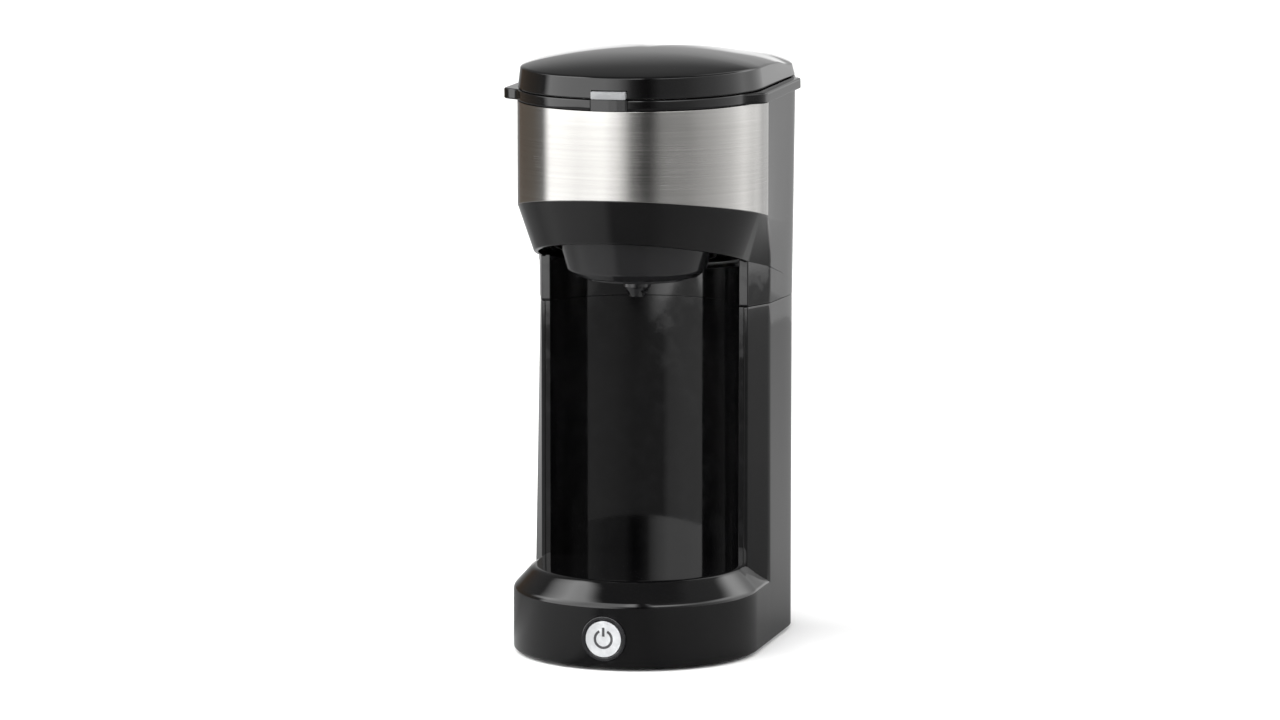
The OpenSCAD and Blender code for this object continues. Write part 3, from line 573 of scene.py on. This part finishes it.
def up_ring(d=0.2):
    R = HEAD_R
    half = arc(0, HEAD_Y, R - d, 270, 352.5, 56)
    A, B, C, D = (57.55 - d, -14.2), (57.85 - d, -11), (R - d, -3.2), (R - d, 42)
    half += bez(A, B, C, 1.3, 5)
    half += [(R - 0.03 - d, -7.2)]
    half += bez(B, C, D, 2.0, 6) + [(R - d, 0.1), (R - d, 0.3), (R - d, 20), D]
    half += arc(R - RC, REAR_Y - RC, RC - d, 0, 90, 14) + [(0, REAR_Y - d)]
    return half + mirror_x(half[1:-1])


def seat(pts, d):
    """Steps the outline in by d in front of the band's two ends."""
    return [p if p[1] > 0.2 else (p[0] * (1 - d / 57.8), HEAD_Y + (p[1] - HEAD_Y) * (1 - d / 57.8)) for p in pts]


def flush(ring):
    """Brings the side and rear columns onto one plain surface from the seam up to the collar."""
    wide = max(abs(x) for x, _, _ in ring)
    out = []
    for x, y, z in ring:
        base = 55.7 + 0.95 * min(29.5, max(-12.2, y - 12.5)) / 29.5
        target = base + (57.8 - base) * (z - SEAM_Z) / 94.7
        s = min(1, max(0, (y - 0.3) / 12)) * min(1, max(0, (abs(x) - 54.6) / 1.1 if y < 42 else 1))
        new = target if y <= 42 else abs(x) * target / wide
        out.append((math.copysign(abs(x) * (1 - s) + s * new, x), y, z))
    return out


def shoulder(low, up, s):
    """Ring between chin and band; the cheek's corner rises upright first and then bends forward."""
    out = []
    for (x0, y0, z0), (x1, y1, z1) in zip(low, up):
        u = s if y0 < 1 or y0 > 40 else s ** (1.0 + 0.9 * min(1, max(0, (y0 - 1) / 8)))
        out.append((x0 + (x1 - x0) * u, y0 + (y1 - y0) * u, z0 + (z1 - z0) * s))
    return out


def head_shell():
    low, up = at_z(low_ring(), chin_at), at_z(up_ring(), band_at)
    bend = lambda a, b, c, us: [[tuple((1 - u) ** 2 * np.array(p) + 2 * u * (1 - u) * np.array(q) + u * u * np.array(r))
                                 for p, q, r in zip(a, b, c)] for u in us]
    # chin's lower lip
    rings = bend(at_z(low_ring(0.7), chin_at), low, lerp_ring(low, up, 0.035), (0, 0.25, 0.5, 0.75, 1.0))
    rings += [shoulder(low, up, s) for s in (0.12, 0.25, 0.4, 0.55, 0.7, 0.85, 0.95)]
    edge = [(x, y, band_at(y)) if y < 0.2 else (x0, y0, band_at(y) + 0.3) for (x, y), (x0, y0) in zip(up_ring(0.5), up_ring())]
    rings += [lerp_ring(low, up, 0.985), lerp_ring(up, edge, 0.5)]
    seat0 = at_z(seat(up_ring(), 1.05), lambda y: band_at(y) + (0.0 if y < 0.2 else 0.5))
    roof = lambda k, o: [(x, y, collar_at(y) + o) for x, y in seat(up_ring(k), 1.05)]
    rings += [seat0, [tuple(0.5 * (np.array(p) + np.array(q))) for p, q in zip(seat0, roof(0.2, -0.3))], roof(0.2, -0.7),
              roof(0.5, -0.25)]
    rings = [flush(r) for r in rings]
    inner = [[(x, y, collar_at(y) - 0.25) for x, y in up_ring(2.3)], at_z(up_ring(2.3), lambda y: band_at(y) + 1),
             at_z(low_ring(2.2), lambda y: chin_at(y) + 0.5), at_z(low_ring(1.9), chin_at)]
    return loft(rings + inner, wrap=True)


def cheek_shell():
    z0 = SEAM_Z + 0.2
    wall = lambda d, rb: c_loop((49.8 - 0.55 * d, -5.5 + 0.8 * d), (55.7 - d, 12.5 + 0.15 * d),
                                [(55.95 - d, 20), (56.2 - d, 28), (56.45 - d, 36), (56.65 - d, 42)], RC - d, rb,
                                -5.5 + 0.8 * d, w=56.65)
    lid_z = lambda y: max(z0 + 1.6, chin_at(y) + (0.6 if y < 11 else 0.0))
    up = [at_z(wall(0.4, 47.0), z0), at_z(wall(0.12, 47.0), z0 + 0.14), at_z(wall(0.0, 47.0), z0 + 0.45),
          at_z(wall(0.0, 47.0), z0 + 0.9)]
    body = [(x, y, z0 + 0.45 + (lid_z(y) - z0 - 0.45) * 0.5) for x, y in wall(0, 47.0)]
    roof = [(x, y, lid_z(y)) for x, y in wall(0.0, 47.0)]
    P = (48.55, -2.2)
    ins = c_loop(P, (53.4, 13.0), [(53.7, 20), (53.9, 28), (54.1, 36), (54.3, 42)], RC - 2.3, 49.2, P[1], w=56.65)
    return loft([flush(r) for r in up + [body, roof]] + [[(x, y, lid_z(y)) for x, y in ins], at_z(ins, z0)], wrap=True)


def ceiling_plate():
    n = 144
    outer, hole = [], []
    for i in range(n):
        a = 2 * math.pi * i / n
        dx, dy = math.cos(a), math.sin(a)
        # out to the nearer of the chin's arc and the bay wall
        best = 1e9
        for cy, r, front in ((-10.0, 49.0, True), (CUP_Y, 48.4, False)):
            oy = -18.0 - cy
            b = oy * dy
            t = -b + math.sqrt(b * b - (oy * oy - r * r))
            y = -18.0 + dy * t
            if (y <= -5.0) == front or abs(y + 5.0) < 0.01:
                best = min(best, t)
        if best > 1e8:
            best = 46.0
        outer.append((dx * best, -18.0 + dy * best))
        hole.append((dx * 38.8, -18.0 + dy * 38.8))
    z = lambda o: (lambda y: chin_at(y) + o)
    rings = [at_z(hole, z(3.0)), at_z(outer, z(3.0)), at_z(outer, z(5.0)), at_z(hole, z(5.0))]
    return loft(rings, wrap=True)


upper = piece("upper_housing_shell", [head_shell(), cheek_shell(), ceiling_plate()], "body",
              M["black_gloss"], ["upper_housing"], sharp=46)


# ---------------------------------------------------------------- steel band
def band_mesh():
    def ring(r, o, lo):
        half = arc(0, HEAD_Y, r, 270, 360, 96) + [(r, -5), (r, -2.5), (r, -0.25 - o)]
        return half

    prof = []
    for r, o, z in ((57.75, 0.25, 0), (57.93, 0.1, 0.07), (58.0, 0.0, 0.3)):
        prof.append((r, o, "lo", z))
    for f in (0.25, 0.5, 0.75):
        prof.append((58.0, 0.0, "mid", f))
    for r, o, z in ((58.0, 0.0, 0.3), (57.93, 0.1, 0.07), (57.75, 0.25, 0)):
        prof.append((r, o, "hi", z))
    prof += [(57.2, 0.25, "hi", 0.0), (57.2, 0.25, "mid", 0.5), (57.2, 0.25, "lo", 0.0)]
    rings = []
    for r, o, kind, k in prof:
        half = ring(r, o, kind)
        pts = [(-x, y) for x, y in reversed(half[1:])] + half
        out = []
        for x, y in pts:
            lo, hi = band_at(y), collar_at(y) - 0.25
            z = lo + k if kind == "lo" else hi - k if kind == "hi" else lo + (hi - lo) * k
            out.append((x, y, z))
        rings.append(out)
    # open strip closed at both ends
    n, m = len(rings[0]), len(rings)
    verts = [p for r in rings for p in r]
    faces = []
    for j in range(m):
        k = (j + 1) % m
        for i in range(n - 1):
            faces.append((j * n + i, j * n + i + 1, k * n + i + 1, k * n + i))
    faces.append(tuple(j * n for j in range(m)))
    faces.append(tuple(j * n + n - 1 for j in reversed(range(m))))
    return verts, faces


band = piece("steel_band_wrap", [band_mesh()], "body", M["steel_band"], ["steel_band"], sharp=50)


# ---------------------------------------------------------------- collar
def collar_outline():
    R, e = HEAD_R, 4.8
    half = arc(0, HEAD_Y, R, 270, 336.7, 67)
    p0, p1, p2, p3 = (np.array(p) for p in (half[-1], (half[-1][0] + 1.6, half[-1][1] + 3.7), (R + e, -26.5), (R + e, -20)))
    half += [tuple((1 - u) ** 3 * p0 + 3 * u * (1 - u) ** 2 * p1 + 3 * u * u * (1 - u) * p2 + u ** 3 * p3)
             for u in np.linspace(0, 1, 15)[1:]]
    half += [(R + e, y) for y in (-14, -6, 4, 14, 24, 34)]
    half += arc(R + e - 3, 42, 3, 0, 60, 6)
    half += bez(half[-1], (R + 0.05, 46.4), (R, 50), 1.2, 4)
    half += arc(R - RC, REAR_Y - RC, RC, 4, 90, 16)
    return half + [(0, REAR_Y)] + mirror_x(half[1:])


def collar_shell():
    c = collar_outline()
    rings = []
    for d, w in ((1.0, 0.0), (0.45, 0.06), (0.12, 0.25), (0.0, 0.6), (0, 1.6), (0, 3.0), (0, 4.1), (0.1, 4.55), (0.35, 4.85), (0.9, 5.0)):
        rings.append([top(x, y, w) for x, y in inset(c, d)])
    return loft(rings, cap0="flat", cap1="flat")


deck = arc(0, HEAD_Y, HEAD_R - 6.4, 180, 360, 120) + [(HEAD_R - 6.4, 20)]
deck += bez((HEAD_R - 6.4, 40), (HEAD_R - 6.4, 56), (0, 56), 6, 8) + bez((0, 56), (6.4 - HEAD_R, 56), (6.4 - HEAD_R, 40), 6, 8)
deck += [(6.4 - HEAD_R, 20)]
fill = [(-44, 40), (44, 40)] + arc(38, 52, 8, 0, 90, 10)[1:] + arc(-38, 52, 8, 90, 180, 10)[:-1]
fill = bez((-44, 50), (-44, 40), (0, 40), 2.5, 5) + bez((0, 40), (44, 40), (44, 50), 2.5, 5) + arc(38, 52, 8, 0, 90, 10) + arc(-38, 52, 8, 90, 180, 10)
notch = [(-8.9, -72), (8.9, -72), (8.9, -60.4), (-8.9, -60.4)]
collar = to_object("top_collar_ring", [collar_shell()])
carve(collar, [prism(deck, 2.2, 20, top), rod((0, -18, 240), (0, -18, 290), 40.8, 160, 0.01), prism(fill, -2, 20, top),
               rod((-30, 29.5, 240), (-30, 29.5, 290), 5.2, 64, 0.01), prism(notch, -2, 20, top)])
dress(collar, M["black_gloss"], 40, 0.3)
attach(collar, "body")
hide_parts("top_collar")


def lug_shell(x0):
    """Hinge lug: round head on a foot that grows out of the collar."""
    prof = [(HINGE_V - 5.0, 2.4), (HINGE_V + 4.6, 2.4)] + [(HINGE_V + 2.5 * math.cos(a), HINGE_W + 2.5 * math.sin(a))
                                                             for a in np.linspace(0, math.pi, 21)]
    rings = []
    for dx, d in ((0, 0.35), (0.12, 0.1), (0.4, 0), (4.6, 0), (4.88, 0.1), (5, 0.35)):
        rings.append([top(x0 + dx, v, w) for v, w in inset(prof, d)])
    return loft(rings, cap0="flat", cap1="flat")


lugs = piece("collar_hinge_lugs", [lug_shell(-41), lug_shell(36)], "body", M["black_gloss"], sharp=46,
             cuts=[rod(top(-50, HINGE_V, HINGE_W), top(50, HINGE_V, HINGE_W), 1.56, 48, 0.01)])


# ---------------------------------------------------------------- lid
def lid_outline(d):
    R = HEAD_R - 0.3
    half = arc(0, HEAD_Y, R - d, 270, 360, 72)
    half += [(R - d, y) for y in (4, 16, 28, 38, 45)]
    half += arc(R - RC, REAR_Y - RC, RC - d, 4, 46, 10)
    half += bez(half[-1], (47.5 - d, HINGE_V - d * 0.3), (0, HINGE_V - d * 0.3), 1.6, 4)
    half += [(x, HINGE_V - d * 0.3) for x in (36, 24, 12, 0)]
    return half + mirror_x(half[1:-1])


def lid_drop(v, x=0.0):
    """The lid's crease falls away towards the hinge, most of all at the two rear corners."""
    base = float(np.interp(v, (-65, -20, 5, 15, 25, 35, 45, 55, 70), (0.35, 0.0, 0.2, 0.6, 1.3, 2.1, 2.8, 3.1, 3.2)))
    return base + 1.6 * min(1, max(0, (abs(x) - 45) / 10)) * min(1, max(0, (v - 25) / 20))


def lid_dome(t, d=0.0, drop=0.0):
    k = math.cos(math.radians(t))
    w = 15.2 - drop + 7.4 * (1 - k ** 2.2) ** 0.8
    return [top(x * k, 4 + (y - 4) * k, w - lid_drop(4 + (y - 4) * k, x * k) * min(1, k * 1.6)) for x, y in lid_outline(1.3 + d)]


def lid_mesh():
    side = lambda d, w: [top(x, y, 5.3 + (w - 5.3) * (9.9 - lid_drop(y, x)) / 9.9) for x, y in lid_outline(d)]
    rings = [side(1.9, 5.3), side(0.7, 5.3), side(0.25, 5.38), side(0.08, 5.6), side(0.06, 6.1)]
    rings += [side(1.3 * (w - 5.3) / 9.9, w) for w in (8, 10, 12, 13.6)]
    rings += [side(1.18, 14.3), side(1.24, 14.75), side(1.36, 15.06)]
    rings += [lid_dome(t) for t in (8.5, 11, 14, 18, 22, 26, 31, 36, 41, 46, 51, 56, 61, 66, 71, 76, 81, 85)]
    inner = [lid_dome(t, 2.0, 2.0) for t in (84, 70, 55, 40, 25, 10)] + [side(3.2, 12.4), side(2.2, 8)]
    return loft([list(r) for r in inner] + rings, cap0=True, cap1=True)


lid = to_object("lid_dome", [lid_mesh()])
notch2 = [(-8.5, -80), (8.5, -80), (8.5, -58), (-8.5, -58)]
cuts = [prism(notch2, 0, 9.3, top)]
for x in (-41.3, 35.7):
    cuts.append(rod(top(x, HINGE_V, HINGE_W), top(x + 5.6, HINGE_V, HINGE_W), 5.9, 64, 0.01))
    cuts.append(prism([(x, HINGE_V - 5.9), (x + 5.6, HINGE_V - 5.9), (x + 5.6, HINGE_V + 12), (x, HINGE_V + 12)], 0, HINGE_W, top))
carve(lid, cuts)
dress(lid, M["black_gloss"], 40, 0.0)
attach(lid, "lid")
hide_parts("lid_shell")
barrel = []
for x0, x1 in ((-44, -41.3), (-35.7, 35.7), (41.3, 44)):
    barrel.append(rod(top(x0, HINGE_V, HINGE_W), top(x1, HINGE_V, HINGE_W), 3.1 if x0 == -35.7 else 2.4, 64, 0.35))
barrel = piece("lid_hinge_barrel", barrel, "lid", M["black_gloss"], sharp=46,
               cuts=[rod(top(-42.5, HINGE_V, HINGE_W), top(42.5, HINGE_V, HINGE_W), 1.52, 48, 0.01)])

# ---------------------------------------------------------------- brew basket
basket = [(3.2, 173.4, 0.2), (22.6, 173.4, 0.3), (23, 175, 0.5), (28.5, 175, 0.6), (32.3, 178.2, 0.9), (36, 192, 1.2),
          (38.9, 246, 0.8), (40, 249, 0.8), (40, 252, 0.5), (37.8, 252, 0.5), (37.8, 249.4, 0.4), (36.2, 248, 0.5),
          (34.3, 192.6, 1.0), (30.8, 179.4, 1.2), (29.4, 177.2, 0.8), (3.2, 176.6, 0.2)]
piece("brew_basket_bowl", [revolve(round_profile(basket, 4), 0, -18, 160)], "basket", M["basket_black"],
      ["brew_basket"], sharp=50)
# PIECES END

# ---------------------------------------------------------------- stage, light, camera
def studio_floor(name, half, z, mat):
    n = 8
    v = [(-half + 2 * half * i / n, -half + 2 * half * j / n, z) for j in range(n + 1) for i in range(n + 1)]
    f = [(j * (n + 1) + i, j * (n + 1) + i + 1, (j + 1) * (n + 1) + i + 1, (j + 1) * (n + 1) + i)
         for j in range(n) for i in range(n)]
    me = bpy.data.meshes.new(name)
    me.from_pydata(v, [], f)
    me.materials.append(mat)
    o = bpy.data.objects.new(name, me)
    scene.collection.objects.link(o)
    return o


pale = Mat("floor_pale").put(Roughness=0.9, Specular_IOR_Level=0.0)
pale.link(pale.ramp(pale.noise(3, 2), (0.3, 0.93), (0.7, 0.95)), pale.b.inputs["Base Color"])
far = studio_floor("floor", 14.0, -0.0004, pale.m)
far.visible_glossy = False
# what the polish reflects close by: the same floor with painted shade, darkest towards the camera
shade = Mat("floor_painted_shade").put(Roughness=0.9, Specular_IOR_Level=0.0)
sp = shade.n("ShaderNodeSeparateXYZ")
shade.link(shade.co, sp.inputs[0])
turn = shade.op("MULTIPLY", shade.op("ARCTAN2", sp.outputs[0], shade.op("MULTIPLY", sp.outputs[1], -1.0)), 1 / (2 * math.pi))
# painted shade and light by azimuth: this floor colour stands in for how dark or bright the reflected surroundings are
shade.link(shade.ramp(shade.op("ADD", turn, 0.5), (0.0, 0.34), (0.083, 0.3), (0.153, 0.17), (0.222, 0.2), (0.278, 0.4),
                      (0.389, 0.42), (0.439, 0.36), (0.461, 0.14), (0.556, 0.13), (0.611, 0.2), (0.70, 0.26), (0.86, 0.28),
                      (1.0, 0.34)), shade.b.inputs["Base Color"])
near = studio_floor("floor_near", 1.25, 0.0, shade.m)
near.visible_camera = False
near.visible_diffuse = False
near.visible_shadow = False

world = bpy.data.worlds.new("studio")
scene.world = world
world.use_nodes = True
wt = world.node_tree
wt.nodes.clear()


def wn(kind, **props):
    node = wt.nodes.new(kind)
    for k, v in props.items():
        setattr(node, k, v)
    return node


def wmath(kind, a, b=0.0, c=0.0):
    node = wn("ShaderNodeMath", operation=kind)
    for sock, v in zip(node.inputs, (a, b, c)):
        if isinstance(v, (int, float)):
            sock.default_value = v
        else:
            wt.links.new(v, sock)
    return node.outputs[0]


def wstep(value, a, b):
    """Smooth 0 to 1 as value goes from a to b (degrees)."""
    node = wn("ShaderNodeMapRange", interpolation_type="SMOOTHSTEP")
    for k, v in (("From Min", a), ("From Max", b)):
        node.inputs[k].default_value = v
    wt.links.new(value, node.inputs["Value"])
    return node.outputs["Result"]


sep = wn("ShaderNodeSeparateXYZ")
wt.links.new(wn("ShaderNodeTexCoord").outputs["Generated"], sep.inputs[0])
az = wmath("MULTIPLY", wmath("ARCTAN2", sep.outputs[0], wmath("MULTIPLY", sep.outputs[1], -1.0)), 180 / math.pi)
el = wmath("MULTIPLY", wmath("ARCSINE", sep.outputs[2]), 180 / math.pi)
PEAK = 6.0


def azimuth_ramp(stops):
    node = wn("ShaderNodeValToRGB")
    els = node.color_ramp.elements
    while len(els) < len(stops):
        els.new(0.5)
    for e, (a, v) in zip(els, stops):
        e.position = (a + 180) / 360
        c = v if isinstance(v, tuple) else (v, v, v)
        e.color = (*[x / PEAK for x in c], 1)
    wt.links.new(wmath("DIVIDE", wmath("ADD", az, 180.0), 360.0), node.inputs["Fac"])
    return node.outputs["Color"]


def wmix(fac, a, b):
    node = wn("ShaderNodeMix", data_type="RGBA")
    wt.links.new(fac, node.inputs[0])
    for sock, v in ((node.inputs[6], a), (node.inputs[7], b)):
        if isinstance(v, (int, float)):
            sock.default_value = (v / PEAK, v / PEAK, v / PEAK, 1)
        elif isinstance(v, tuple):
            sock.default_value = (*[x / PEAK for x in v], 1)
        else:
            wt.links.new(v, sock)
    return node.outputs[2]


# brightness round the horizon, azimuth from the front (-Y) towards +X
low = azimuth_ramp([(-180, 0.8), (-147, 0.3), (-139, (0.16, 0.12, 0.09)), (-104, (0.2, 0.17, 0.14)), (-88, 0.22), (-80, 3.2),
                    (-20, 3.3), (-8, 2.4), (0, 1.2), (5, 0.38), (10, 0.16), (15, 0.03), (21, 0.02), (26, 0.16), (32, 0.38),
                    (56, 0.5), (72, 0.8), (86, 1.0), (104, 1.4), (122, 2.1), (144, 1.7), (158, 0.8), (170, 0.75), (180, 0.8)])
mid = azimuth_ramp([(-180, 0.2), (-110, 0.2), (-100, 2.4), (-86, 5.0), (-62, 4.2), (-40, 2.9), (-12, 2.9), (0, 3.3), (6, 4.8), (12, 4.4),
                    (16.5, 0.5), (20, 0.1), (25, 0.15), (28.5, 2.0), (32, 5.2), (50, 4.6), (64, 3.0), (84, 2.0), (100, 3.0), (110, 3.4),
                    (146, 3.2), (166, 0.8), (180, 0.2)])
sky = wmix(wstep(el, 12.0, 30.0), low, mid)
right = wmath("MULTIPLY", wstep(az, 24.0, 34.0), wmath("SUBTRACT", 1.0, wstep(az, 148.0, 165.0)))
sky = wmix(wmath("MULTIPLY", right, wstep(el, 33.0, 44.0)), sky, 0.35)
# a card low behind the object, mirrored by the right of the lid
behind = wmath("ADD", wstep(az, 118.0, 140.0), wmath("SUBTRACT", 1.0, wstep(az, -164.0, -150.0)))
strip = wmath("MULTIPLY", wstep(el, -3.0, 0.0), wmath("SUBTRACT", 1.0, wstep(el, 5.5, 8.5)))
sky = wmix(wmath("MULTIPLY", behind, strip), sky, 1.3)
sky = wmix(wstep(el, 58.0, 67.0), sky, 0.16)
sky = wmix(wstep(el, -12.0, -24.0), sky, 0.62)
bg = wn("ShaderNodeBackground")
bg.inputs["Strength"].default_value = PEAK
wt.links.new(sky, bg.inputs["Color"])
cam_bg = wn("ShaderNodeBackground")
cam_bg.inputs["Color"].default_value = (0.98, 0.98, 0.98, 1)
mixer = wn("ShaderNodeMixShader")
wt.links.new(wn("ShaderNodeLightPath").outputs["Is Camera Ray"], mixer.inputs[0])
wt.links.new(bg.outputs[0], mixer.inputs[1])
wt.links.new(cam_bg.outputs[0], mixer.inputs[2])
wt.links.new(mixer.outputs[0], wn("ShaderNodeOutputWorld").inputs[0])


def softbox(name, loc, size, power, aim=(0, 0, 0.13), glossy=False):
    light = bpy.data.lights.new(name, "AREA")
    light.shape, light.size, light.size_y, light.energy = "RECTANGLE", size[0], size[1], power
    o = bpy.data.objects.new(name, light)
    o.location = loc
    o.rotation_euler = (Vector(aim) - Vector(loc)).to_track_quat("-Z", "Y").to_euler()
    o.visible_glossy = glossy
    scene.collection.objects.link(o)
    return o


softbox("overhead", (0.0, -0.2, 2.4), (3.0, 3.0), 30)

cam = bpy.data.cameras.new("camera")
cam.lens, cam.sensor_width, cam.clip_end = 140.6, 36.0, 60.0
camera = bpy.data.objects.new("camera", cam)
camera.location = (0.6164, -2.2285, 0.4330)
camera.rotation_euler = (math.pi / 2 - 0.1289, 0.0, 0.2713)
scene.collection.objects.link(camera)
scene.camera = camera
scene.view_settings.view_transform = "Standard"
scene.view_settings.look = "None"
